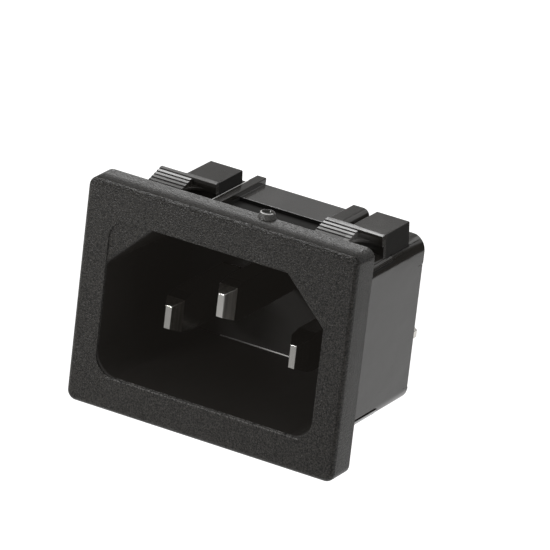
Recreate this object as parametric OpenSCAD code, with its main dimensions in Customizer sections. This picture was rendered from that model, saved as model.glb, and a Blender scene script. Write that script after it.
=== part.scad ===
// Snap-in appliance inlet with three flat pins, for a panel cutout.
// X runs to the right, Y runs rearwards into the panel, Z runs up.
// The origin is the centre of the flange's back face, where the panel's front lies.

/* [Flange] */
// Width of the flange
flange_w = 30; // [28:0.1:36]
// Height of the flange
flange_h = 23.4; // [22.6:0.1:30]
// Thickness of the flange
flange_t = 3.3; // [2:0.1:5]
// Radius of the flange's four corners
flange_corner_r = 1; // [0.8:0.1:2.5]
// Rounding of the flange's front edges
flange_edge_r = 0.5; // [0.2:0.05:0.7]

/* [Body] */
// Width of the body behind the flange
body_w = 26.5; // [26:0.1:27.6]
// Height of the body behind the flange
body_h = 17.4; // [17.3:0.1:18.4]
// Distance from the flange's middle down to the body's middle
body_drop = 0.2; // [0:0.05:0.3]
// Length of the body behind the flange
body_len = 14.1; // [13:0.1:22]
// Radius of the body's long edges
body_edge_r = 1.5; // [0.8:0.1:2]
// Height that the corner pads stand proud of the body's sides
pad_rise = 0.1; // [0.05:0.05:0.3]
// Length of the corner pads behind the flange
pad_len = 7.95; // [4:0.05:10]
// Distance from the middle plane to each corner pad
pad_z = 7.75; // [6:0.05:8]
// Radius of each corner pad's inner corner
pad_corner_r = 0.35; // [0.2:0.05:0.8]
// Width of the groove that outlines a corner pad
groove_w = 0.15; // [0.1:0.05:0.3]
// Depth of the groove that outlines a corner pad
groove_depth = 0.2; // [0.1:0.05:0.3]

/* [Opening] */
// Width of the plug opening at the front
opening_w = 24.2; // [24:0.05:24.6]
// Height of the plug opening at the front
opening_h = 16.2; // [15.8:0.05:16.4]
// Leg of the two chamfered upper corners
opening_chamfer = 4.8; // [3.5:0.05:6]
// Radius where a chamfer meets a wall
chamfer_r = 1; // [0.4:0.1:2]
// Radius of the two lower corners
lower_corner_r = 2.4; // [1:0.1:3.5]
// Taper of each cavity wall from the front to the rear
cavity_draft = 0.45; // [0.1:0.05:0.6]
// Rounding of the opening's rim
rim_r = 0.3; // [0.1:0.05:0.4]
// Depth of the shallow recess round the opening
recess_depth = 0.15; // [0.05:0.05:0.3]
// Corner radius of the shallow recess
recess_r = 2; // [1:0.1:3]

/* [Latches] */
// Outer end of the pair of latches, from the middle plane
latch_outer = 12.6; // [12.2:0.05:12.7]
// Width of one latch
latch_w = 6.5; // [6:0.05:6.6]
// Width of the toothed part of a latch
teeth_w = 3.8; // [3:0.05:4.5]
// Width over which the teeth and the block behind them join
teeth_overlap = 1; // [0.6:0.05:1.6]
// Height of a latch's crest above the body
latch_rise = 2.13; // [1.8:0.01:2.4]
// Distance from the flange to the left latch's crest
left_crest_y = 6.3; // [5.5:0.05:6.6]
// Distance from the flange to the right latch's crest
right_crest_y = 6.05; // [5.5:0.05:6.6]
// Distance from the flange to the rear of both crests
crest_rear_y = 6.75; // [6.7:0.05:8]
// Distance from tooth to tooth
tooth_pitch = 0.49; // [0.4:0.01:0.6]
// Height of one tooth
tooth_drop = 0.165; // [0.1:0.005:0.2]
// Number of teeth below the crest
tooth_count = 4; // [2:1:5]
// Length of the land in front of the last tooth
tip_land = 0.6; // [0.3:0.05:0.8]
// Distance from the flange to the rear end of a latch
latch_end = 11.5; // [10.5:0.05:12.8]
// Length of a latch's root on the body
root_len = 5.1; // [1.5:0.1:5.1]
// Thickness of a latch's arm at its free end
arm_t = 0.3; // [0.2:0.05:0.5]
// Radius of the inner corner beside the teeth
latch_fillet_r = 1.7; // [0.6:0.1:2]
// Fall of each tread and of the crest towards the flange
tread_fall = 0.07; // [0.02:0.01:0.09]

// Outer end of the underside's pair of latches, from the middle plane
under_outer = 9.2; // [7:0.05:12.7]

/* [Ribs] */
// Height of the ribs above the body
rib_rise = 1; // [0.7:0.05:1.2]
// Distance from the middle plane to the long rib
long_rib_x = 4.82; // [4:0.02:5]
// Distance from the middle plane to the short rib
short_rib_x = 4.98; // [4:0.02:5.4]
// Width of the long rib
long_rib_w = 1.05; // [0.8:0.05:1.1]
// Width of the short rib
short_rib_w = 1.9; // [1.5:0.05:2.3]
// Rounding of the short rib's outer edge
short_rib_r = 0.75; // [0.3:0.05:0.75]
// Length of the short rib, from the rear
short_rib_len = 5.9; // [4:0.1:6.2]
// Height of the middle pad above the body
middle_pad_rise = 0.4; // [0.3:0.05:0.5]
// Length of the middle pad, from the rear
middle_pad_len = 5.1; // [3:0.1:8]
// Chamfer on the middle pad's rear edge
middle_pad_chamfer = 0.2; // [0.1:0.05:0.3]

/* [Rear cover] */
// Thickness of the rear cover
cover_t = 0.95; // [0.8:0.05:1.5]
// Depth of the cover below the body's rear edge
cover_inset = 0.1; // [0:0.05:0.4]
// Wall left beside the cover
cover_side_wall = 0.9; // [0.6:0.05:1.1]
// Wall left above and below the cover
cover_top_wall = 0.6; // [0.5:0.05:0.7]
// Height of the cover's two side ears
ear_h = 13; // [8:0.1:13.4]
// Height of the ears' middle below the middle plane
ear_drop = 0.8; // [0:0.05:1]
// Clearance round the cover and round each pin in it
fit_gap = 0.05; // [0.02:0.01:0.1]

/* [Contacts] */
// Distance between the line pin and the neutral pin
pin_pitch = 14; // [13:0.05:14.5]
// Height of the earth pin above the other two
earth_rise = 4.1; // [3.8:0.05:4.5]
// Height of a pin's section
pin_h = 4; // [3.6:0.05:4.2]
// Thickness of a pin's section
pin_t = 2; // [1.8:0.05:2.2]
// Distance from the front face to the line and neutral tips
pin_recess = 4.25; // [3.5:0.05:6]
// Distance from the front face to the earth tip
earth_recess = 1.55; // [1:0.05:3]
// Length of a pin's tapered nose
nose_len = 2.6; // [1.5:0.1:3.5]
// Height of the flat at a pin's tip
tip_h = 2.4; // [1.8:0.05:3]
// Thickness of the flat at a pin's tip
tip_t = 0.65; // [0.4:0.05:1]
// Width of a rear tab
tab_w = 6.3; // [4:0.1:6.6]
// Thickness of a rear tab and its web
tab_t = 0.8; // [0.6:0.05:1]
// Distance from the rear cover to a tab's end
tab_reach = 7.75; // [6:0.05:12]
// Distance from a pin's middle plane to its tab's middle plane
tab_offset = 2.62; // [2.4:0.02:3.4]
// Inside radius of the bend between web and tab
tab_bend_r = 0.4; // [0.2:0.05:0.8]
// Leg of the chamfers at a tab's end
tab_chamfer = 0.75; // [0.3:0.05:1.2]
// Diameter of the hole in a tab
tab_hole_d = 1.6; // [1:0.1:2]
// Distance from a tab's end to its hole
tab_hole_y = 3.5; // [2.4:0.1:4]

/* [Hidden] */
$fn = 64;
hull_fn = 32;
sliver = 0.01;
over = 1;
rim_steps = 3;
edge_steps = 6;
chamfer_gain = 2 - sqrt(2);
chamfer_lift = sqrt(2) - 1;

front_y = -flange_t;
opening_front_y = front_y + recess_depth;
body_top = body_h / 2 - body_drop;
body_bottom = -body_h / 2 - body_drop;
crest_z = body_top + latch_rise;
rear_y = body_len - cover_inset;
cover_y = rear_y - cover_t;
row_z = -earth_rise / 2;
earth_z = earth_rise / 2;
block_x = teeth_w - teeth_overlap;
nose_shoulder = nose_len / 2;
shoulder_h = (tip_h + pin_h) / 2 + nose_len / 20;
tab_end_y = rear_y + tab_reach;
cover_w = body_w - 2 * cover_side_wall;
cover_h = body_h - 2 * cover_top_wall;
stair_len = tooth_count * tooth_pitch + tip_land;
stair_end_z = crest_z - (tooth_count + 1) * tooth_drop;
latch_base_z = stair_end_z - arm_t;
rooted = 0.5;
cover_r = body_edge_r - cover_top_wall / 2;

plastic = [0.07, 0.07, 0.07];
plastic_rear = [0.1, 0.1, 0.1];
metal = [0.78, 0.78, 0.76];

// Draws a flat shape in X and Z and gives it depth from y0 to y1.
module along_y(y0, y1) {
    translate([0, y1, 0])
        rotate([90, 0, 0])
            linear_extrude(y1 - y0) children();
}

// Draws a flat shape in Y and Z and gives it width from x0 to x1.
module along_x(x0, x1) {
    translate([x0, 0, 0])
        rotate([90, 0, 90])
            linear_extrude(x1 - x0) children();
}

// A rectangle with round corners, made of squares and circles.
module round_rect(w, h, r) {
    square([w - 2 * r, h], center = true);
    square([w, h - 2 * r], center = true);
    for (sx = [-1, 1], sz = [-1, 1])
        translate([sx * (w / 2 - r), sz * (h / 2 - r)]) circle(r);
}

// The flange before it is opened: a plate with round corners and front edges.
module flange_plate() {
    e = flange_edge_r;
    r = flange_corner_r;
    arc = [for (i = [0 : edge_steps])
        let (a = 90 * i / edge_steps)
            [r - e + e * cos(a), flange_t - e + e * sin(a)]];
    hull()
        for (sx = [-1, 1], sz = [-1, 1])
            translate([sx * (flange_w / 2 - r), 0, sz * (flange_h / 2 - r)])
                rotate([90, 0, 0])
                    rotate_extrude($fn = hull_fn)
                        polygon(concat([[0, 0], [r, 0]], arc, [[0, flange_t]]));
}

// One short post of the opening's outline, at a corner with a given radius.
module post(x, z, y, r) {
    translate([x, y + sliver, z])
        rotate([90, 0, 0]) cylinder(h = sliver, r = r, $fn = hull_fn);
}

// The opening's outline as a thin slab at depth y, grown by grow on every side.
module opening_slab(y, grow) {
    w = opening_w / 2 + grow;
    h = opening_h / 2 + grow;
    c = opening_chamfer + grow * chamfer_gain;
    lift = chamfer_r * chamfer_lift;
    for (s = [-1, 1]) {
        post(s * (w - c - lift), h - chamfer_r, y, chamfer_r);
        post(s * (w - chamfer_r), h - c - lift, y, chamfer_r);
        post(s * (w - lower_corner_r), lower_corner_r - h, y, lower_corner_r);
    }
}

// The cavity that takes the plug, slightly narrower at the rear.
module plug_cavity() {
    hull() {
        opening_slab(opening_front_y, 0);
        opening_slab(cover_y, -cavity_draft);
    }
    for (i = [0 : rim_steps - 1]) {
        a0 = 90 * i / rim_steps;
        a1 = 90 * (i + 1) / rim_steps;
        hull() {
            opening_slab(opening_front_y + rim_r * (1 - cos(a0)) - sliver, rim_r * (1 - sin(a0)));
            opening_slab(opening_front_y + rim_r * (1 - cos(a1)) - sliver, rim_r * (1 - sin(a1)));
        }
    }
}

// The shallow recess with round corners that frames the opening.
module front_recess() {
    along_y(front_y - over, opening_front_y)
        round_rect(opening_w, opening_h, recess_r);
}

// The flat shape of the upper pads' side in Y and Z, grown by grow.
module pad_side(grow) {
    r = pad_corner_r + grow;
    z = pad_z - grow;
    len = pad_len + grow;
    translate([0, z + r]) square([len, body_h - z - r]);
    translate([0, z]) square([len - r, body_h - z]);
    translate([len - r, z + r]) circle(r);
}

// Both pads' sides, upper and lower, as bars right across the body.
module pad_bars(grow) {
    for (flip = [0, 1])
        mirror([0, 0, flip])
            along_x(-body_w, body_w) pad_side(grow);
}

// The four low pads that centre the body in its cutout.
module corner_pads() {
    intersection() {
        along_y(0, pad_len)
            translate([0, -body_drop])
                round_rect(body_w + 2 * pad_rise, body_h, body_edge_r + pad_rise);
        pad_bars(0);
    }
}

// The fine grooves that outline the pads on the body's sides.
module pad_grooves() {
    difference() {
        pad_bars(groove_w);
        pad_bars(0);
        translate([groove_depth - body_w / 2, -over, -body_h])
            cube([body_w - 2 * groove_depth, body_len, 2 * body_h]);
        translate([-body_w, -over, -body_h])
            cube([2 * body_w, over, 2 * body_h]);
    }
}

// The flat shape of a latch's staircase, in Y and Z, with its crest at crest_y.
module stair_profile(crest_y) {
    steps = [for (i = [0 : tooth_count])
        each [[crest_y - i * tooth_pitch, crest_z - i * tooth_drop - tread_fall],
              [crest_y - i * tooth_pitch, crest_z - (i + 1) * tooth_drop]]];
    polygon(concat(
        [[crest_rear_y, latch_base_z], [crest_rear_y, crest_z]],
        steps,
        [[crest_y - stair_len, stair_end_z], [crest_y - stair_len, latch_base_z]]));
}

// The flat shape of a latch's block with its root, in Y and Z.
module block_profile(crest_y) {
    polygon([
        [crest_y, latch_base_z],
        [crest_y, crest_z - tread_fall],
        [crest_rear_y, crest_z],
        [latch_end, crest_z],
        [latch_end, body_top - rooted],
        [latch_end - root_len, body_top - rooted],
        [latch_end - root_len, latch_base_z]]);
}

// One snap latch, with its left end at x = 0.
module latch(crest_y) {
    r = latch_fillet_r;
    along_x(0, teeth_w) stair_profile(crest_y);
    along_x(block_x, latch_w) block_profile(crest_y);
    difference() {
        translate([teeth_w - sliver, crest_y - r, latch_base_z])
            cube([r + sliver, r + sliver, stair_end_z - latch_base_z]);
        translate([teeth_w + r, crest_y - r, latch_base_z - over])
            cylinder(h = latch_rise + 2 * over, r = r);
    }
}

// What stands on the body's top: two latches, two ribs and the middle pad.
module snap_side() {
    sunk = body_top - rooted;
    rib_top = rib_rise + rooted;
    r = short_rib_r;
    translate([-latch_outer, 0, 0]) latch(left_crest_y);
    translate([latch_outer - latch_w, 0, 0]) latch(right_crest_y);
    translate([-long_rib_x - long_rib_w, -sliver, sunk])
        cube([long_rib_w, body_len + sliver, rib_top]);
    along_y(body_len - short_rib_len, body_len)
        translate([short_rib_x, sunk]) {
            square([short_rib_w, rib_top - r]);
            square([short_rib_w - r, rib_top]);
            translate([short_rib_w - r, rib_top - r]) circle(r);
        }
    along_x(-long_rib_x - sliver, short_rib_x + sliver)
        polygon([
            [body_len - middle_pad_len, sunk],
            [body_len - middle_pad_len, body_top + middle_pad_rise],
            [body_len - middle_pad_chamfer, body_top + middle_pad_rise],
            [body_len, body_top + middle_pad_rise - middle_pad_chamfer],
            [body_len, sunk]]);
}

// What stands on the body's underside: a second pair of latches.
module under_side() {
    translate([0, 0, -2 * body_drop])
        mirror([0, 0, 1]) {
            translate([-under_outer, 0, 0]) latch(left_crest_y);
            mirror([1, 0, 0]) translate([-under_outer, 0, 0]) latch(left_crest_y);
        }
}

// The seat of the rear cover: a rebate with a notch in each side wall.
module cover_seat() {
    along_y(cover_y, body_len + over)
        translate([0, -body_drop]) round_rect(cover_w, cover_h, cover_r);
    translate([-body_w / 2 - over, cover_y, -ear_h / 2 - ear_drop])
        cube([body_w + 2 * over, cover_t + over, ear_h]);
}

module housing() {
    color(plastic)
        difference() {
            union() {
                flange_plate();
                along_y(-sliver, body_len)
                    translate([0, -body_drop]) round_rect(body_w, body_h, body_edge_r);
                corner_pads();
                snap_side();
                under_side();
            }
            plug_cavity();
            front_recess();
            cover_seat();
            pad_grooves();
        }
}

// The cross-section of a pin with a clearance, at a place in X and Z.
module pin_section(x, z, gap) {
    translate([x, z]) square([pin_t + 2 * gap, pin_h + 2 * gap], center = true);
}

module rear_cover() {
    color(plastic_rear)
        along_y(cover_y, rear_y)
            difference() {
                union() {
                    translate([0, -body_drop])
                        round_rect(cover_w - 2 * fit_gap, cover_h - 2 * fit_gap, cover_r);
                    translate([-body_w / 2, fit_gap - ear_h / 2 - ear_drop])
                        square([body_w, ear_h - 2 * fit_gap]);
                }
                pin_section(-pin_pitch / 2, row_z, fit_gap);
                pin_section(pin_pitch / 2, row_z, fit_gap);
                pin_section(0, earth_z, fit_gap);
            }
}

// A flat pin along Y, with its tip at y0 and its root in the web at y1.
module blade(y0, y1) {
    intersection() {
        along_x(-pin_t / 2, pin_t / 2)
            polygon([
                [y0, -tip_h / 2], [y0 + nose_shoulder, -shoulder_h / 2],
                [y0 + nose_len, -pin_h / 2], [y1, -pin_h / 2],
                [y1, pin_h / 2], [y0 + nose_len, pin_h / 2],
                [y0 + nose_shoulder, shoulder_h / 2], [y0, tip_h / 2]]);
        translate([0, 0, -pin_h])
            linear_extrude(2 * pin_h)
                polygon([
                    [-tip_t / 2, y0], [tip_t / 2, y0], [pin_t / 2, y0 + nose_shoulder],
                    [pin_t / 2, y1], [-pin_t / 2, y1], [-pin_t / 2, y0 + nose_shoulder]]);
    }
}

// The web and the tab behind the rear cover, bent from one strip, tab above.
module strip_profile() {
    web_y = rear_y + tab_t;
    tab_z = tab_offset - tab_t / 2;
    bend_y = web_y + tab_bend_r;
    bend_z = tab_z - tab_bend_r;
    translate([rear_y, -pin_h / 2]) square([tab_t, bend_z + pin_h / 2]);
    translate([bend_y, tab_z]) square([tab_end_y - bend_y, tab_t]);
    intersection() {
        translate([bend_y, bend_z])
            difference() {
                circle(tab_bend_r + tab_t);
                circle(tab_bend_r);
            }
        translate([rear_y, bend_z]) square(tab_bend_r + tab_t);
    }
}

// The strip's outline seen from above: the tab's end has two chamfers.
module strip_outline() {
    w = tab_w / 2;
    polygon([
        [-w, rear_y], [w, rear_y], [w, tab_end_y - tab_chamfer], [w - tab_chamfer, tab_end_y],
        [tab_chamfer - w, tab_end_y], [-w, tab_end_y - tab_chamfer]]);
}

// One contact: a pin from its tip at tip_y, a web and a tab that lies above.
module contact(tip_y) {
    blade(tip_y, rear_y + tab_t / 2);
    difference() {
        intersection() {
            along_x(-tab_w / 2, tab_w / 2) strip_profile();
            translate([0, 0, -pin_h])
                linear_extrude(pin_h + tab_offset + tab_t) strip_outline();
        }
        translate([0, tab_end_y - tab_hole_y, tab_offset - tab_t])
            cylinder(h = 2 * tab_t, d = tab_hole_d);
    }
}

module line_contact() {
    color(metal)
        translate([-pin_pitch / 2, 0, row_z])
            mirror([0, 0, 1]) contact(front_y + pin_recess);
}

module neutral_contact() {
    color(metal)
        translate([pin_pitch / 2, 0, row_z])
            mirror([0, 0, 1]) contact(front_y + pin_recess);
}

module earth_contact() {
    color(metal)
        translate([0, 0, earth_z]) contact(front_y + earth_recess);
}

housing();
rear_cover();
line_contact();
neutral_contact();
earth_contact();
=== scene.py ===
# %% [markdown]
# A snap-in appliance inlet, dressed for its picture.
# The real object is one black moulding with a deep socket, a plate that closes it at the
# rear, and three plated contacts. It could all be modelled here, but the solids of the CAD
# model are already right in shape and place. So this lesson keeps them and is about finish:
# softened edges, a grained face, satin walls, plated metal and the light of a small studio.

# %% Load the fixed frame and keep its box
import math

import bmesh
import bpy
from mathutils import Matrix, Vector


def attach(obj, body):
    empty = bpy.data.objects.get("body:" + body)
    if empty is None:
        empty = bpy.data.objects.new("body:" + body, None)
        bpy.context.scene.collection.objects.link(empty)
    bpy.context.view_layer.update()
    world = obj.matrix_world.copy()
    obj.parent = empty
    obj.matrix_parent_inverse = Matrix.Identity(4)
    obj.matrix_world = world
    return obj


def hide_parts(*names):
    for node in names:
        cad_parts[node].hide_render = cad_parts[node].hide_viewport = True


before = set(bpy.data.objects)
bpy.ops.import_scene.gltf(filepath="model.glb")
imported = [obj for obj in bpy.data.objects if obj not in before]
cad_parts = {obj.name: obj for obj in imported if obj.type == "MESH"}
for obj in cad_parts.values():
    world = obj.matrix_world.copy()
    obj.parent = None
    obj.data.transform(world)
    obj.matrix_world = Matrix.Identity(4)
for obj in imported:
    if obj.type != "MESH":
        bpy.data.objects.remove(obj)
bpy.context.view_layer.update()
MM = 0.001
print("pieces in the frame:", sorted(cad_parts))

# %% [markdown]
# The picture is a studio shot from a good half metre away, from the inlet's right and from
# above. A camera can be placed by eye, or worked out from points whose real places are known.
# This one was worked out, from the flange, the socket and the pins, because a camera that is
# a little wrong makes a right shape look wrong. The narrow angle stands for a long lens, so
# there is almost no perspective.

# %% Place the camera
CAMERA_PLACE_MM = (284.97, -543.74, 246.23)
CAMERA_TURN_DEG = (68.432, -6.232, 29.733)
VIEW_ANGLE_DEG = 4.591
NEAREST_MM = 10
FARTHEST_M = 20


def place_camera():
    data = bpy.data.cameras.new("product_camera")
    data.sensor_fit = "HORIZONTAL"
    data.angle = math.radians(VIEW_ANGLE_DEG)
    data.clip_start = NEAREST_MM * MM
    data.clip_end = FARTHEST_M
    camera = bpy.data.objects.new("product_camera", data)
    camera.location = [c * MM for c in CAMERA_PLACE_MM]
    camera.rotation_euler = [math.radians(a) for a in CAMERA_TURN_DEG]
    bpy.context.scene.collection.objects.link(camera)
    bpy.context.scene.camera = camera
    return camera


camera = place_camera()
print("camera distance in mm:", round(camera.location.length / MM, 1))

# %% [markdown]
# A black part shows mostly what it mirrors, so it is photographed inside a white tent. The
# tent could be a box of glowing sheets, but a plain white world does the same with less
# noise. The camera, mirrors and clear things see it at full white. All other light comes
# from it at a lower level, because otherwise the black plastic would look grey.

# %% Hang the white tent
scene = bpy.context.scene
scene.view_settings.view_transform = "Standard"
WHITE = (1, 1, 1, 1)
TENT_LEVEL = 0.6
SEEN_LEVEL = 1


def link(tree, output, target):
    tree.links.new(output, target)


def maths(tree, operation, a, b):
    node = tree.nodes.new("ShaderNodeMath")
    node.operation = operation
    for socket, value in zip(node.inputs, (a, b)):
        if isinstance(value, (int, float)):
            socket.default_value = value
        else:
            link(tree, value, socket)
    return node.outputs[0]


def white_background(tree, strength):
    node = tree.nodes.new("ShaderNodeBackground")
    node.inputs["Color"].default_value = WHITE
    node.inputs["Strength"].default_value = strength
    return node.outputs[0]


def white_tent():
    world = bpy.data.worlds.new("white_tent")
    world.use_nodes = True
    tree = world.node_tree
    tree.nodes.clear()
    out = tree.nodes.new("ShaderNodeOutputWorld")
    rays = tree.nodes.new("ShaderNodeLightPath")
    mirrored = maths(tree, "MAXIMUM", rays.outputs["Is Camera Ray"], rays.outputs["Is Glossy Ray"])
    seen = maths(tree, "MAXIMUM", mirrored, rays.outputs["Is Transmission Ray"])
    mix = tree.nodes.new("ShaderNodeMixShader")
    link(tree, seen, mix.inputs["Fac"])
    link(tree, white_background(tree, TENT_LEVEL), mix.inputs[1])
    link(tree, white_background(tree, SEEN_LEVEL), mix.inputs[2])
    link(tree, mix.outputs[0], out.inputs["Surface"])
    scene.world = world
    return world


print("world:", white_tent().name)

# %% [markdown]
# Under the part lies a pale table, so far below that it only gives the underside something
# to mirror. The world alone would do for the background, but nothing would then throw light
# up or catch a shadow. So the floor is a wide sheet. Its paint glows a little, towards the
# camera and mirrors only, which brings it close to the white behind.

# %% Lay the floor
FLOOR_Z_MM = -70
FLOOR_HALF_M = 3
FLOOR_GREY = 0.92
FLOOR_ROUGHNESS = 0.9
FLOOR_GLOW = 0.42


def plain_paint(name, grey, roughness):
    paint = bpy.data.materials.new(name)
    paint.use_nodes = True
    shader = paint.node_tree.nodes["Principled BSDF"]
    shader.inputs["Base Color"].default_value = (grey, grey, grey, 1)
    shader.inputs["Roughness"].default_value = roughness
    shader.inputs["Specular IOR Level"].default_value = 0.0
    return paint


def object_from(bm, name, material):
    mesh = bpy.data.meshes.new(name)
    bm.to_mesh(mesh)
    bm.free()
    mesh.materials.append(material)
    thing = bpy.data.objects.new(name, mesh)
    scene.collection.objects.link(thing)
    return thing


def floor_paint():
    paint = plain_paint("floor_white", FLOOR_GREY, FLOOR_ROUGHNESS)
    tree = paint.node_tree
    shader = tree.nodes["Principled BSDF"]
    rays = tree.nodes.new("ShaderNodeLightPath")
    seen = maths(tree, "MAXIMUM", rays.outputs["Is Camera Ray"], rays.outputs["Is Glossy Ray"])
    shader.inputs["Emission Color"].default_value = WHITE
    link(tree, maths(tree, "MULTIPLY", seen, FLOOR_GLOW), shader.inputs["Emission Strength"])
    return paint


def lay_floor():
    bm = bmesh.new()
    bmesh.ops.create_grid(bm, x_segments=1, y_segments=1, size=FLOOR_HALF_M)
    bmesh.ops.translate(bm, verts=bm.verts, vec=(0, 0, FLOOR_Z_MM * MM))
    floor = object_from(bm, "pale_floor", floor_paint())
    return floor


print("floor width in m:", lay_floor().dimensions.x)

# %% [markdown]
# Two lamps do the shaping. A large soft box, high at the rear left, lights the flange's top,
# the latches and every other surface that faces up. A small one, close at the front left,
# only just reaches into the socket. Stronger lamps from all sides would show more, but black
# plastic loses its form in them.

# %% Hang the two soft lamps


def soft_lamp(name, place_mm, size_mm, watts):
    data = bpy.data.lights.new(name, "AREA")
    data.shape = "RECTANGLE"
    data.size, data.size_y = (s * MM for s in size_mm)
    data.energy = watts
    lamp = bpy.data.objects.new(name, data)
    lamp.location = [c * MM for c in place_mm]
    lamp.rotation_euler = (-Vector(lamp.location)).to_track_quat("-Z", "Y").to_euler()
    lamp.visible_camera = False
    scene.collection.objects.link(lamp)
    return lamp


soft_lamp("soft_box_rear_left", (-420, 620, 650), (420, 340), watts=3.2)
soft_lamp("fill_front_left", (-50, -98, 32), (30, 16), watts=0.06)

# %% [markdown]
# Grey cards shape what the part mirrors, as flags do in a real studio: a rounded edge or a
# satin wall looks as dark as the card that it faces. The world could be painted darker on
# some sides instead. Cards are easier to think about, because each has a place in
# millimetres and moves alone. The two in front are for the flange's face, and the three
# behind are for the tops and the right side, which mirror what stands at the rear. The
# camera doesn't see any of them, and they throw no shadow.

# %% Stand the grey cards around
CARD_THICK_MM = 1.0


def grey_card(name, low_mm, high_mm, grey):
    bm = bmesh.new()
    bmesh.ops.create_cube(bm, size=1)
    span = [max(h - l, CARD_THICK_MM) * MM for l, h in zip(low_mm, high_mm)]
    middle = [(l + h) / 2 * MM for l, h in zip(low_mm, high_mm)]
    bmesh.ops.scale(bm, vec=span, verts=bm.verts)
    bmesh.ops.translate(bm, vec=middle, verts=bm.verts)
    card = object_from(bm, name, plain_paint(name + "_paint", grey, 1))
    card.visible_camera = False
    card.visible_shadow = False
    return card


cards = [
    grey_card("front_flag", (-500, -600, -66), (900, -50, -65), grey=0.36),
    grey_card("front_wall", (-900, -760, -66), (900, -758, 1000), grey=0.25),
    grey_card("horizon_flag", (150, 700, -60), (1300, 702, 240), grey=0.06),
    grey_card("far_floor_flag", (60, 212, -66), (1300, 800, -65), grey=0.06),
    grey_card("rear_left_flag", (-1000, 800, 60), (-80, 802, 760), grey=0.4),
]
print("cards:", [card.name for card in cards])

# %% [markdown]
# Plastic and metal share some effects. Their nodes could be copied into each material, but a
# change would then have to be made in every copy. A node group is built once, like a recipe
# with some amounts left open, and each material sets those amounts. Its inputs and outputs
# are numbers here, and the shader itself stays in the material.

# %% Write the helpers for shared effects


def new_group(name, inputs, outputs):
    group = bpy.data.node_groups.new(name, "ShaderNodeTree")
    for label, value in inputs:
        socket = group.interface.new_socket(
            name=label, in_out="INPUT", socket_type="NodeSocketFloat")
        socket.default_value = value
    for label in outputs:
        group.interface.new_socket(name=label, in_out="OUTPUT", socket_type="NodeSocketFloat")
    return group, group.nodes.new("NodeGroupInput"), group.nodes.new("NodeGroupOutput")


def noise(tree, detail, roughness):
    node = tree.nodes.new("ShaderNodeTexNoise")
    node.inputs["Detail"].default_value = detail
    node.inputs["Roughness"].default_value = roughness
    return node


print("helpers ready: new_group, noise")

# %% [markdown]
# The flange's face was spark-eroded in the mould, which leaves a fine grain with small pits.
# It could be an image or real displacement. A noise with small cells needs no picture and
# no millions of faces, and it has no seams. Its group gives two things: Height drives the
# relief, and Fleck the light and dark points.

# %% Build the grain
PITS_TO_GRAIN = 1.3
GRAIN_CONTRAST = 2.6
PIT_RADIUS = 0.45
PIT_CONTRAST = 0.9
FLECK_MIDDLE = 0.4


def build_grain():
    group, given, result = new_group(
        "moulded_grain", [("Scale", 5000.0), ("Coarse", 0.5)], ["Height", "Fleck"])
    place = group.nodes.new("ShaderNodeTexCoord")
    fine = noise(group, detail=2, roughness=0.7)
    link(group, place.outputs["Object"], fine.inputs["Vector"])
    link(group, given.outputs["Scale"], fine.inputs["Scale"])
    pits = group.nodes.new("ShaderNodeTexVoronoi")
    link(group, place.outputs["Object"], pits.inputs["Vector"])
    pit_scale = maths(group, "MULTIPLY", given.outputs["Scale"], PITS_TO_GRAIN)
    link(group, pit_scale, pits.inputs["Scale"])
    coarse = maths(group, "MULTIPLY", pits.outputs["Distance"], given.outputs["Coarse"])
    link(group, maths(group, "ADD", fine.outputs["Fac"], coarse), result.inputs["Height"])
    grain_swing = maths(group, "SUBTRACT", fine.outputs["Fac"], 0.5)
    grain_tone = maths(group, "MULTIPLY", grain_swing, GRAIN_CONTRAST)
    pit_swing = maths(group, "SUBTRACT", PIT_RADIUS, pits.outputs["Distance"])
    pit_tone = maths(group, "MULTIPLY", pit_swing, PIT_CONTRAST)
    fleck = maths(group, "ADD", maths(group, "ADD", grain_tone, pit_tone), FLECK_MIDDLE)
    not_below = maths(group, "MAXIMUM", fleck, 0.0)
    link(group, maths(group, "MINIMUM", not_below, 1.0), result.inputs["Fleck"])
    return group


GRAIN = build_grain()
print("grain gives:", [s.name for s in GRAIN.interface.items_tree if s.in_out == "OUTPUT"])

# %% [markdown]
# Moulded walls and plated metal are never quite even. They have faint clouds of tone, or
# streaks along the way in which they were drawn. Both could be painted by hand. One soft
# noise that can be stretched along an axis gives clouds and streaks alike, and it can be
# used again on every piece, so it is the second shared group.

# %% Build the slow clouds


def build_clouds():
    group, given, result = new_group(
        "slow_clouds", [("Scale", 120.0), ("Along", 1.0), ("Upright", 1.0)], ["Value"])
    place = group.nodes.new("ShaderNodeTexCoord")
    pull = group.nodes.new("ShaderNodeCombineXYZ")
    pull.inputs["X"].default_value = 1
    link(group, given.outputs["Along"], pull.inputs["Y"])
    link(group, given.outputs["Upright"], pull.inputs["Z"])
    stretch = group.nodes.new("ShaderNodeMapping")
    link(group, place.outputs["Object"], stretch.inputs["Vector"])
    link(group, pull.outputs[0], stretch.inputs["Scale"])
    cloud = noise(group, detail=4, roughness=0.5)
    link(group, stretch.outputs[0], cloud.inputs["Vector"])
    link(group, given.outputs["Scale"], cloud.inputs["Scale"])
    link(group, cloud.outputs["Fac"], result.inputs["Value"])
    return group


CLOUDS = build_clouds()
print("shared effects:", [g.name for g in bpy.data.node_groups])

# %% [markdown]
# The housing came out of one mould with several finishes: a grained flange, satin walls, a
# polished strip, worn treads. It could be cut into pieces, or get a material for each face.
# Here one material finds each zone by its place on the piece. A zone is a box with its
# limits in millimetres, as on a drawing, and it stays put when the edges are softened. The
# axis x runs to the right, y into the panel and z up.

# %% Write the helpers that find a zone


def joined(tree, operation, *values):
    result = values[0]
    for value in values[1:]:
        result = maths(tree, operation, result, value)
    return result


def raised(tree, start, mask, rise):
    return maths(tree, "ADD", start, maths(tree, "MULTIPLY", mask, rise))


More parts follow.
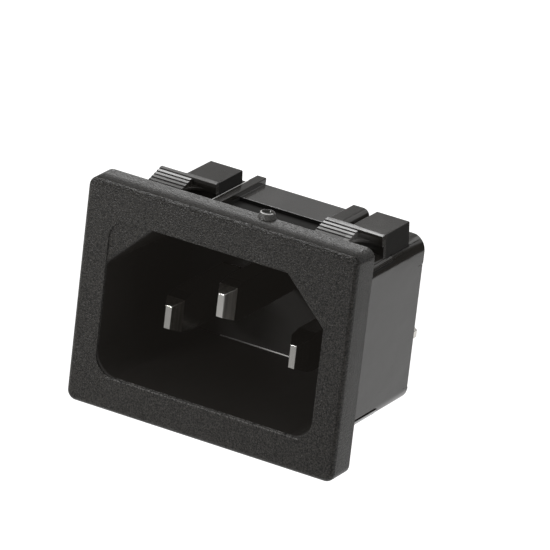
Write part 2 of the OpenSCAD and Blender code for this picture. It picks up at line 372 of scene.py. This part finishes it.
def object_axes(tree):
    place = tree.nodes.new("ShaderNodeTexCoord")
    split = tree.nodes.new("ShaderNodeSeparateXYZ")
    link(tree, place.outputs["Object"], split.inputs[0])
    return {"x": split.outputs["X"], "y": split.outputs["Y"], "z": split.outputs["Z"]}


def zone(tree, axes, box_mm):
    sides = []
    for axis, (low, high) in box_mm.items():
        sides.append(maths(tree, "GREATER_THAN", axes[axis], low * MM))
        sides.append(maths(tree, "LESS_THAN", axes[axis], high * MM))
    return joined(tree, "MULTIPLY", *sides)


def ramp(tree, value, start_mm, end_mm):
    node = tree.nodes.new("ShaderNodeMapRange")
    node.inputs["From Min"].default_value = start_mm * MM
    node.inputs["From Max"].default_value = end_mm * MM
    link(tree, value, node.inputs["Value"])
    return node.outputs["Result"]


print("helpers ready: joined, raised, object_axes, zone, ramp")

# %% [markdown]
# The flange is everything in front of the panel, less the inside of the opening and less the
# mark on its top where the plastic was let in. It has the grain on its face and on its four
# sides. The socket is smooth, and its colour is painted darker as painted shade, as little
# light gets in. Faces could be picked by their direction, but a box for each zone is simpler
# and leaves no face out.

# %% Find the flange and the socket
FAR_MM = 100.0
RECESS_FLOOR_MM = -3.1
GATE_FOOT_MM = 12.26
SOCKET = {"x": (-12.12, 12.12), "y": (RECESS_FLOOR_MM, 13.6), "z": (-8.12, 8.12)}
IN_FRONT = {"y": (-FAR_MM, 0.02), "z": (-FAR_MM, GATE_FOOT_MM)}
FLANGE_TOP = {"z": (11.0, FAR_MM)}
SHAPE_ON_FACE = 0.1
SHAPE_ON_TOP = 1.0
FLANGE_HALF_MM = 15.0


def main_zones(tree, axes):
    socket = zone(tree, axes, SOCKET)
    not_socket = maths(tree, "SUBTRACT", 1.0, socket)
    flange = maths(tree, "MULTIPLY", zone(tree, axes, IN_FRONT), not_socket)
    top = raised(tree, SHAPE_ON_FACE, zone(tree, axes, FLANGE_TOP), SHAPE_ON_TOP - SHAPE_ON_FACE)
    leftwards = ramp(tree, axes["x"], FLANGE_HALF_MM, -FLANGE_HALF_MM)
    return {"socket": socket, "flange": flange, "top": top, "leftwards": leftwards}


print("socket zone in mm:", SOCKET)

# %% [markdown]
# Some places mirror nothing bright and lie in shade: the gutter behind the flange, the groove
# in the corner pads and the right sides of the latch blocks. Light could be kept out of them
# with more cards. Instead their colour is painted darker, as painted shade, and they are made
# rougher, which does it without touching the rest. One box serves both pads, because it is
# typed along the axis across, the distance from the middle to either side. The strip at the
# rear of the middle pad is the opposite of dark: it was polished in the mould and gets a
# clear coat.

# %% Find the dark places and the polished strip
# Boxes whose colour is painted darker, as painted shade.
DARK_PLACES = {
    "gutter": {"x": (-5.0, 5.0), "y": (0.02, 9.05), "z": (8.3, 8.92)},
    "pad_groove": {"across": (12.8, 13.6), "y": (0.02, 8.15), "z": (7.5, 7.76)},
    "left_block_side": {"x": (-6.4, -6.0), "y": (6.8, 11.6), "z": (7.0, 10.55)},
    "right_block_side": {"x": (12.4, 12.8), "y": (6.8, 11.6), "z": (7.0, 10.55)},
}
POLISHED_STRIP = {"x": (-4.9, 4.9), "y": (9.05, 14.2), "z": (8.7, 8.95)}


def dark_and_polished_zones(tree, axes):
    places = [zone(tree, axes, box) for box in DARK_PLACES.values()]
    return {"dark": joined(tree, "MAXIMUM", *places),
            "polished": zone(tree, axes, POLISHED_STRIP)}


print("dark places:", list(DARK_PLACES))

# %% [markdown]
# The treads of the latches are worn matt, because they are what rubs on a panel. The wear
# fades out where the treads lead up to the crest, a little sooner on the right latch, and
# the left latch's crest is worn as well. A ramp from full wear to none is enough for this.

# %% Find the worn treads
TREADS = {"across": (6.0, 12.9), "y": (0.5, 6.2), "z": (8.7, 10.7)}
LEFT_CREST = {"x": (-12.8, -6.0), "y": (6.2, 6.9), "z": (10.2, 10.8)}
LEFT_CREST_WEAR = 0.9
UNWORN_FROM_MM = 6.0
WORN_FROM_MM = 4.7
RIGHT_LATCH_SOONER_MM = 0.45


def worn_treads(tree, axes):
    on_right = maths(tree, "GREATER_THAN", axes["x"], 0)
    shifted = raised(tree, axes["y"], on_right, RIGHT_LATCH_SOONER_MM * MM)
    wear = ramp(tree, shifted, UNWORN_FROM_MM, WORN_FROM_MM)
    treads = maths(tree, "MULTIPLY", wear, zone(tree, axes, TREADS))
    crest = maths(tree, "MULTIPLY", zone(tree, axes, LEFT_CREST), LEFT_CREST_WEAR)
    return maths(tree, "MAXIMUM", treads, crest)


print("treads in mm:", TREADS)

# %% [markdown]
# Pale marks are painted highlights, where light catches an edge or a face: the thin line
# where the socket's lower wall meets its floor, the long rib's edge, the rim and side of the
# gate mark, and the hollow beside the right latch's treads. Each could be a line of faces of
# its own. They are narrow boxes instead, each with its strength. Two of them fade along x,
# because a hard end would look like a step. The opening's lower rim gets a painted highlight
# too, and is kept apart, as it is broken up by the grain.

# %% Find the pale marks
PALE_MARKS = {
    "rib_edge": ({"x": (-5.95, -5.71), "y": (4.5, 12.2), "z": (9.4, 9.55)}, 1.0),
    "gate_rim": ({"y": (-2.0, -0.5), "z": (GATE_FOOT_MM, FAR_MM)}, 0.6),
    "gate_side": ({"z": (11.74, GATE_FOOT_MM)}, 0.06),
}
SOCKET_LINE = {"x": (-7.4, 6.4), "y": (12.9, 13.2), "z": (-7.9, -7.57)}
SOCKET_LINE_FADE_MM = (-5.0, -1.0)
SOCKET_LINE_LEVELS = (0.2, 0.95)
LATCH_HOLLOW = {"x": (9.3, 12.3), "y": (2.0, 6.7), "z": (8.9, 10.3)}
LATCH_HOLLOW_FADE_MM = (12.3, 10.0)
LATCH_HOLLOW_LEVEL = 0.12
LOWER_RIM = {"x": (-10.8, 10.8), "y": (-3.4, -2.9), "z": (-8.29, -8.12)}


def pale_zones(tree, axes):
    plain = [maths(tree, "MULTIPLY", zone(tree, axes, box), level)
             for box, level in PALE_MARKS.values()]
    low, high = SOCKET_LINE_LEVELS
    line_level = raised(tree, low, ramp(tree, axes["x"], *SOCKET_LINE_FADE_MM), high - low)
    line = maths(tree, "MULTIPLY", line_level, zone(tree, axes, SOCKET_LINE))
    hollow = joined(tree, "MULTIPLY", zone(tree, axes, LATCH_HOLLOW),
                    ramp(tree, axes["x"], *LATCH_HOLLOW_FADE_MM), LATCH_HOLLOW_LEVEL)
    return {"pale": joined(tree, "MAXIMUM", line, hollow, *plain),
            "lower_rim": zone(tree, axes, LOWER_RIM)}


print("pale marks:", list(PALE_MARKS) + ["socket_line", "latch_hollow"])

# %% [markdown]
# Now the colour. The plastic is a warm black. Its satin walls go slowly from that black to a
# slightly lighter one, and the grained face swings from near black in the pits to grey on
# the points. The face is painted a little lighter towards the left, as painted light from
# that side. Then come the painted shade of the socket and the dark places, and last the
# painted highlights of the pale marks and of the lower rim, which sits only on the grain's
# points. It could all be one painted picture, but mixing it from zones keeps every step at a
# value that can be changed. A Mix node has its two numbers at sockets 2 and 3 and its two
# colours at 6 and 7, so the helper has to know which kind it mixes.

# %% Mix the plastic's colour
# The tone and amount of the painted light towards the left of the face.
LEFT_LIGHT_PAINT = (0.1, 0.097, 0.09, 1)
LEFT_LIGHT_AMOUNT = 0.055
# The white of the painted highlights, and how strong the lower rim's painted highlight is.
HIGHLIGHT_WHITE = (0.9, 0.89, 0.87, 1)
RIM_HIGHLIGHT = 0.15
CLOUD_TONE = 1.5
PIT_TONE = 0.25
POINT_TONE = 2.2
PAINTED_SHADE_TONE = 0.35
FIRST_MIX_SOCKET = {"FLOAT": 2, "RGBA": 6}


def between(tree, low, high, mask, kind="FLOAT"):
    node = tree.nodes.new("ShaderNodeMix")
    node.data_type = kind
    link(tree, mask, node.inputs[0])
    first = FIRST_MIX_SOCKET[kind]
    for socket, value in zip(node.inputs[first:first + 2], (low, high)):
        if isinstance(value, (int, float, tuple)):
            socket.default_value = value
        else:
            link(tree, value, socket)
    return next(output for output in node.outputs if output.enabled)


def toned(colour, factor):
    return tuple(c * factor for c in colour[:3]) + (1,)


def plastic_colour(tree, base, zones, grain, clouds):
    walls = between(tree, base, toned(base, CLOUD_TONE), clouds, "RGBA")
    grained = between(tree, toned(base, PIT_TONE), toned(base, POINT_TONE),
                      grain.outputs["Fleck"], "RGBA")
    # Painted light: the face is made a little lighter towards the left, where the light comes
    # from.
    left_light = maths(tree, "MULTIPLY", zones["leftwards"], LEFT_LIGHT_AMOUNT)
    lit_at_left = between(tree, grained, LEFT_LIGHT_PAINT, left_light, "RGBA")
    surface = between(tree, walls, lit_at_left, zones["flange"], "RGBA")
    # Painted shade: the socket and the dark places get a darker colour.
    in_shade = maths(tree, "MAXIMUM", zones["socket"], zones["dark"])
    shaded = between(tree, surface, toned(base, PAINTED_SHADE_TONE), in_shade, "RGBA")
    # Painted highlights: the pale marks, and the lower rim's glints on the grain's points.
    rim_glints = joined(tree, "MULTIPLY", grain.outputs["Fleck"], zones["lower_rim"], RIM_HIGHLIGHT)
    highlighted = maths(tree, "MAXIMUM", zones["pale"], rim_glints)
    return between(tree, shaded, HIGHLIGHT_WHITE, highlighted, "RGBA")


print("points are", round(POINT_TONE / PIT_TONE, 1), "times as light as pits")

# %% [markdown]
# Next, how matt each zone is. One number for the whole piece would make it look like rubber
# or like lacquer. The walls are satin, the grained face is matt and a little less so on its
# top, the socket and the worn treads are dull, and the dark places hardly mirror at all. The
# slow clouds move every value a little, as on real mouldings.

# %% Set how matt the plastic is
SATIN_SWING = 0.16
MATT_SWING = 0.1
SOCKET_DULLER = 0.35
DARK_DULLER = 0.75
TOP_SHINIER = -0.12


def plastic_roughness(tree, matt, satin, zones, clouds):
    even_satin = raised(tree, satin - SATIN_SWING / 2, clouds, SATIN_SWING)
    dull_zones = maths(tree, "ADD", zones["socket"], zones["treads"])
    dulled = raised(tree, even_satin, dull_zones, SOCKET_DULLER)
    walls = raised(tree, dulled, zones["dark"], DARK_DULLER)
    even_matt = raised(tree, matt - MATT_SWING / 2, clouds, MATT_SWING)
    face = raised(tree, even_matt, zones["top"], TOP_SHINIER)
    return between(tree, walls, face, zones["flange"])


print("satin swings by", SATIN_SWING, "and matt by", MATT_SWING)

# %% [markdown]
# Last, the relief that is too fine to model. On the flange it is the grain, plus two slow
# shapes that turn the light on its top: the draft, by which the mould lets go, and the rolled
# front edge. On the walls it is shallow sinks, where the plastic shrank. A height map of
# real faces would need millions of them. A bump only turns the light, and that is all that
# can be seen of a few hundredths of a millimetre.

# %% Shape the plastic's fine relief
RELIEF_MM = 0.055
WALL_RELIEF = 0.03
FLANGE_RELIEF = 1.0
ROLL_FROM_MM = -1.2
ROLL_TO_MM = RECESS_FLOOR_MM - 0.2
ROLL_RISE = 15.0
DRAFT_RISE_PER_M = 4200.0
SINK_RISE = 45.0


def plastic_relief(tree, axes, zones, grain, clouds):
    rolled = ramp(tree, axes["y"], ROLL_FROM_MM, ROLL_TO_MM)
    roll = joined(tree, "MULTIPLY", rolled, rolled, -ROLL_RISE)
    lean = raised(tree, roll, axes["y"], DRAFT_RISE_PER_M)
    flange_shape = maths(tree, "MULTIPLY", lean, zones["top"])
    sinks = maths(tree, "MULTIPLY", clouds, SINK_RISE)
    slow = between(tree, sinks, flange_shape, zones["flange"])
    bump = tree.nodes.new("ShaderNodeBump")
    bump.inputs["Distance"].default_value = RELIEF_MM * MM
    strength = between(tree, WALL_RELIEF, FLANGE_RELIEF, zones["flange"])
    link(tree, strength, bump.inputs["Strength"])
    link(tree, maths(tree, "ADD", grain.outputs["Height"], slow), bump.inputs["Height"])
    return bump.outputs[0]


print("flange relief is", round(FLANGE_RELIEF / WALL_RELIEF), "times the walls'")

# %% [markdown]
# The plastic itself is put together from these parts. Light that bounces about in the deep
# socket never leaves it quite black, so the socket is given a very faint painted glow that
# stands in for that bounced light. A stronger lamp would give that too, but it would make the
# walls outside lighter as well.

# %% Make the moulded plastic
PLASTIC_IOR = 1.4
COAT_ROUGHNESS = 0.1
POLISHED_COAT = 0.7
BLACK = (0, 0, 0, 1)
SHADOW_LIFT = (0.0062, 0.0055, 0.0048, 1)
WARM_BLACK = (0.0262, 0.024, 0.0212, 1)


def effect(tree, group, **values):
    node = tree.nodes.new("ShaderNodeGroup")
    node.node_tree = group
    for label, value in values.items():
        node.inputs[label].default_value = value
    return node


def moulded_plastic(name, base, matt, satin):
    material = bpy.data.materials.new(name)
    material.use_nodes = True
    tree = material.node_tree
    shader = tree.nodes["Principled BSDF"]
    axes = object_axes(tree)
    axes["across"] = maths(tree, "ABSOLUTE", axes["x"], 0)
    zones = {**main_zones(tree, axes), **dark_and_polished_zones(tree, axes),
             **pale_zones(tree, axes), "treads": worn_treads(tree, axes)}
    grain = effect(tree, GRAIN, Scale=5200.0, Coarse=0.6)
    clouds = effect(tree, CLOUDS, Scale=220.0, Along=0.5, Upright=1.0).outputs["Value"]
    link(tree, plastic_colour(tree, base, zones, grain, clouds), shader.inputs["Base Color"])
    link(tree, plastic_roughness(tree, matt, satin, zones, clouds), shader.inputs["Roughness"])
    link(tree, plastic_relief(tree, axes, zones, grain, clouds), shader.inputs["Normal"])
    shader.inputs["IOR"].default_value = PLASTIC_IOR
    shader.inputs["Coat Roughness"].default_value = COAT_ROUGHNESS
    coat = maths(tree, "MULTIPLY", zones["polished"], POLISHED_COAT)
    link(tree, coat, shader.inputs["Coat Weight"])
    # Painted light: a faint glow in the socket for the light that bounces about in it.
    glow = between(tree, BLACK, SHADOW_LIFT, zones["socket"], "RGBA")
    link(tree, glow, shader.inputs["Emission Color"])
    shader.inputs["Emission Strength"].default_value = 1
    return material


housing_plastic = moulded_plastic("housing_plastic", WARM_BLACK, matt=0.42, satin=0.17)
print("plastic nodes:", len(housing_plastic.node_tree.nodes))

# %% [markdown]
# The contacts are brass with a nickel plate, which is a warm grey mirror. One plain metal
# would only show the socket's dark walls and look the same all over. On the real pins three
# zones differ: the flat end is bright, and is painted near white as a painted highlight; the
# sheared slopes of the nose are streaked; and the shaft behind lies deep in the socket's shade
# and is painted dim as painted shade. The slopes also catch the light differently on each pin,
# so each has its own level, as painted light and shade.

# %% Colour the plated metal
NICKEL = (0.66, 0.64, 0.6, 1)
# The near white of the painted highlight on the flat end.
END_HIGHLIGHT = (1.0, 0.98, 0.93, 1)
NOSE_MM = 1.28
COVER_FRONT_MM = 13.0
PLATE_DARKER = 0.8
STREAK_TONES = (0.2, 1.5)
# The shaft's painted shade.
SHAFT_SHADE_TONE = 0.16


def metal_colour(tree, base, nose_light_level, zones, clouds, streaks):
    plate = between(tree, toned(base, PLATE_DARKER), base, clouds, "RGBA")
    # Painted light and shade: each pin's nose is made lighter or darker by its own level.
    dark_streak, light_streak = (toned(base, t * nose_light_level) for t in STREAK_TONES)
    sheared = between(tree, dark_streak, light_streak, streaks, "RGBA")
    with_nose = between(tree, plate, sheared, zones["nose"], "RGBA")
    # Painted shade on the shaft, then a painted highlight on the flat end.
    shaft_shaded = between(tree, with_nose, toned(base, SHAFT_SHADE_TONE), zones["shaft"], "RGBA")
    return between(tree, shaft_shaded, END_HIGHLIGHT, zones["end"], "RGBA")


print("the sheared slopes of a pin are", NOSE_MM, "mm long")

# %% [markdown]
# Rolling left fine lines along each blade, and shearing left upright lines on its nose. They
# could be cut into the mesh, but they are only some thousandths of a millimetre deep, so a
# bump is enough. The slow clouds, stretched in three ways, give the lines, the streaks and
# the unevenness of the plate.

# %% Make the plated metal
PLATE_SWING = 0.12
LINE_DEPTH_MM = 0.004
LINE_STRENGTH = 0.5
SIDE_NOSE_END_MM = 2.3
EARTH_NOSE_END_MM = -0.35


def plated_metal(name, base, rough, nose_end_mm, nose_light_level):
    material = bpy.data.materials.new(name)
    material.use_nodes = True
    tree = material.node_tree
    shader = tree.nodes["Principled BSDF"]
    shader.inputs["Metallic"].default_value = 1
    axes = object_axes(tree)
    nose_start_mm = nose_end_mm - NOSE_MM
    zones = {"end": zone(tree, axes, {"y": (-FAR_MM, nose_start_mm)}),
             "nose": zone(tree, axes, {"y": (nose_start_mm, nose_end_mm)}),
             "shaft": zone(tree, axes, {"y": (nose_end_mm, COVER_FRONT_MM)})}
    streaks = effect(tree, CLOUDS, Scale=2600.0, Along=1.0, Upright=0.03).outputs["Value"]
    rolled = effect(tree, CLOUDS, Scale=5000.0, Along=0.04, Upright=1.0).outputs["Value"]
    clouds = effect(tree, CLOUDS, Scale=500.0, Along=0.8, Upright=1.0).outputs["Value"]
    colour = metal_colour(tree, base, nose_light_level, zones, clouds, streaks)
    link(tree, colour, shader.inputs["Base Color"])
    # Painted light: the same faint glow on the nose and shaft, which lie deep in the socket.
    in_socket = maths(tree, "MAXIMUM", zones["shaft"], zones["nose"])
    glow = between(tree, BLACK, SHADOW_LIFT, in_socket, "RGBA")
    link(tree, glow, shader.inputs["Emission Color"])
    shader.inputs["Emission Strength"].default_value = 1
    roughness = raised(tree, rough - PLATE_SWING / 2, clouds, PLATE_SWING)
    link(tree, roughness, shader.inputs["Roughness"])
    bump = tree.nodes.new("ShaderNodeBump")
    bump.inputs["Distance"].default_value = LINE_DEPTH_MM * MM
    bump.inputs["Strength"].default_value = LINE_STRENGTH
    link(tree, between(tree, rolled, streaks, zones["nose"]), bump.inputs["Height"])
    link(tree, bump.outputs[0], shader.inputs["Normal"])
    return material


line_nickel = plated_metal(
    "line_nickel", NICKEL, rough=0.22, nose_end_mm=SIDE_NOSE_END_MM, nose_light_level=0.9)
neutral_nickel = plated_metal(
    "neutral_nickel", NICKEL, rough=0.22, nose_end_mm=SIDE_NOSE_END_MM, nose_light_level=0.25)
earth_nickel = plated_metal(
    "earth_nickel", NICKEL, rough=0.3, nose_end_mm=EARTH_NOSE_END_MM, nose_light_level=1.0)
print("metal nodes:", len(earth_nickel.node_tree.nodes))

# %% [markdown]
# No real edge is perfectly sharp: it is a little round, and catches the light. A Bevel
# modifier is the usual way, and takes every edge above an angle. Here a few have to be left
# out, so the hard edges are picked first and then given to the bevel tool. The tiny ones in
# the notches for the cover's ears stay sharp, as a bevel has no room there. Where bevels run
# together on the thin corner pads, the tool can throw a point out past the pad's side. No
# part of the body is wider than the pads, so such points are pulled back to that side.

# %% Write the helpers that soften edges
PAD_HALF_MM = 13.35
STRAY_MM = 0.02
BODY_FROM_MM = 0.05
EAR_SIDE_MM = 13.2
EAR_FRONT_MM = 13.0


def in_ear_notch(edge):
    return all(abs(v.co.x) > EAR_SIDE_MM and v.co.y > EAR_FRONT_MM for v in edge.verts)


def hard_edges(bm, hard_deg):
    return [edge for edge in bm.edges if edge.is_manifold and not in_ear_notch(edge)
            and edge.calc_face_angle() > math.radians(hard_deg)]


def soften(bm, edges, width_mm):
    bmesh.ops.bevel(bm, geom=edges, offset=width_mm, offset_type="OFFSET", segments=3,
                    profile=0.5, affect="EDGES", clamp_overlap=False, material=-1)


def pull_back_stray_points(bm):
    for v in bm.verts:
        if v.co.y > BODY_FROM_MM and abs(v.co.x) > PAD_HALF_MM + STRAY_MM:
            v.co.x = math.copysign(PAD_HALF_MM, v.co.x)


print("helpers ready: in_ear_notch, hard_edges, soften, pull_back_stray_points")

# %% [markdown]
# A CAD solid arrives as loose triangles that share no edges, and it must not be changed. So
# each visible piece is a copy of it: its doubles are merged, its flat areas are joined to
# one face again, and then its edges are softened. The mesh tools have limits that suit sizes
# near one, so the copy is worked on in millimetres and shrunk afterwards. Smooth shading
# alone would make flat walls look swollen, so weighted normals keep the large faces flat.

# %% Write the helper that dresses a solid
WELD_MM = 0.015
FLAT_DEG = 0.4
SMOOTH_DEG = 40


def softened_copy(node_name, piece_name, material, width_mm, hard_deg, dress=None):
    bm = bmesh.new()
    bm.from_mesh(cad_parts[node_name].data)
    bmesh.ops.scale(bm, vec=(1 / MM,) * 3, verts=bm.verts)
    bmesh.ops.remove_doubles(bm, verts=bm.verts, dist=WELD_MM)
    bmesh.ops.dissolve_limit(
        bm, angle_limit=math.radians(FLAT_DEG), verts=bm.verts, edges=bm.edges)
    if dress:
        dress(bm)
    hard = hard_edges(bm, hard_deg)
    soften(bm, hard, width_mm)
    pull_back_stray_points(bm)
    bmesh.ops.scale(bm, vec=(MM,) * 3, verts=bm.verts)
    piece = object_from(bm, piece_name, material)
    piece.data.shade_smooth()
    piece.data.set_sharp_from_angle(angle=math.radians(SMOOTH_DEG))
    even = piece.modifiers.new("even_normals", "WEIGHTED_NORMAL")
    even.keep_sharp = True
    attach(piece, "root")
    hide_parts(node_name)
    print(piece_name, "softened edges:", len(hard), "faces:", len(piece.data.polygons))
    return piece


print("helper ready: softened_copy")

# %% [markdown]
# A moulded block is never quite square, because it has to slide out of its mould. The right
# sides of the two latch blocks lean inwards a little towards the top. That, together with the
# painted shade in their colour, is why they look dark beside the body's upright side.
# Their side faces could be rebuilt, but it is enough to move the points that lie on them, in
# proportion to their height.

# %% Lean the latch blocks' sides
BLOCK_SIDES_MM = (12.6, -6.1)
BLOCK_FOOT_MM = 7.9
BLOCK_FRONT_MM = 6.0
BLOCK_PIVOT_MM = 9.9
BLOCK_LEAN = 0.09
ON_SIDE_MM = 0.01


def lean_block_sides(bm):
    for side in BLOCK_SIDES_MM:
        on_side = [v for v in bm.verts if abs(v.co.x - side) < ON_SIDE_MM
                   and v.co.z > BLOCK_FOOT_MM and v.co.y > BLOCK_FRONT_MM]
        for v in on_side:
            v.co.x -= BLOCK_LEAN * (v.co.z - BLOCK_PIVOT_MM)
        print("points leant on the side at", side, "mm:", len(on_side))


# %% [markdown]
# Plastic enters a mould through a gate, and where it is broken off it leaves a small crater.
# Here that is on top of the flange. A picture on the flange would look flat at this angle, so
# it is a shape: a short cone with its top face inset twice and sunk.

# %% Add the gate mark's crater
GATE_PLACE_MM = (3.25, -0.4, 12.0)
CRATER_FOOT_RADIUS_MM = 0.95
CRATER_RIM_RADIUS_MM = 0.7
CRATER_HEIGHT_MM = 0.62
CRATER_LIP_MM = 0.12
CRATER_LIP_RISE_MM = 0.03
CRATER_WALL_MM = 0.06
CRATER_DEPTH_MM = 0.3
CRATER_SIDES = 40


def add_crater(bm):
    made = bmesh.ops.create_cone(
        bm, cap_ends=True, segments=CRATER_SIDES, radius1=CRATER_FOOT_RADIUS_MM,
        radius2=CRATER_RIM_RADIUS_MM, depth=CRATER_HEIGHT_MM)
    bmesh.ops.translate(bm, vec=GATE_PLACE_MM, verts=made["verts"])
    faces = {f for v in made["verts"] for f in v.link_faces}
    top = max(faces, key=lambda f: f.calc_center_median().z)
    bmesh.ops.inset_region(bm, faces=[top], thickness=CRATER_LIP_MM, depth=CRATER_LIP_RISE_MM)
    bmesh.ops.inset_region(bm, faces=[top], thickness=CRATER_WALL_MM)
    bmesh.ops.translate(bm, vec=(0, 0, -CRATER_DEPTH_MM), verts=top.verts)
    print("crater's lip at a height of mm:", round(max(v.co.z for v in bm.verts), 2))


# %% [markdown]
# The blocks, the ribs and the middle pad came out less crisp than the flange, and in the
# picture their level upper edges carry a soft light line. One bevel width for the whole
# piece would lose that line, so these edges get a wider bevel before the others get theirs.
# Only edges that stick out are taken: on an inner corner it would look like a weld.

# %% Soften the level edges behind the crests more
BEHIND_CREST_MM = 6.9
ABOVE_MM = 8.45
LEVEL_WITHIN_MM = 0.5
WIDE_BEVEL_MM = 0.09
PLASTIC_HARD_DEG = 35


def is_level_and_behind(edge):
    depths = [v.co.y for v in edge.verts]
    heights = [v.co.z for v in edge.verts]
    return (max(depths) > BEHIND_CREST_MM and min(heights) > ABOVE_MM
            and max(heights) - min(heights) < LEVEL_WITHIN_MM)


def dress_housing(bm):
    lean_block_sides(bm)
    add_crater(bm)
    wide = [edge for edge in hard_edges(bm, PLASTIC_HARD_DEG)
            if edge.is_convex and is_level_and_behind(edge)]
    print("edges with a wide bevel:", len(wide))
    soften(bm, wide, WIDE_BEVEL_MM)


# %% [markdown]
# Now every solid gets its dressed copy, which takes the solid's place in the picture. They
# could share one width of bevel and one limit for what is hard. But the housing's edges are
# the crispest, and the contacts have flatter slopes, whose edges would be missed by the
# plastic's limit.

# %% Dress the five solids
METAL_HARD_DEG = 12
HOUSING_EDGE_MM = 0.04
OTHER_EDGE_MM = 0.05
housing = softened_copy("housing", "housing_moulding", housing_plastic,
                        HOUSING_EDGE_MM, PLASTIC_HARD_DEG, dress_housing)
cover = softened_copy("rear_cover", "cover_moulding", housing_plastic,
                      OTHER_EDGE_MM, PLASTIC_HARD_DEG)
line_pin = softened_copy("line_contact", "line_pin", line_nickel,
                         OTHER_EDGE_MM, METAL_HARD_DEG)
neutral_pin = softened_copy("neutral_contact", "neutral_pin", neutral_nickel,
                            OTHER_EDGE_MM, METAL_HARD_DEG)
earth_pin = softened_copy("earth_contact", "earth_pin", earth_nickel,
                          OTHER_EDGE_MM, METAL_HARD_DEG)
print("dressed pieces:", [p.name for p in (housing, cover, line_pin, neutral_pin, earth_pin)])
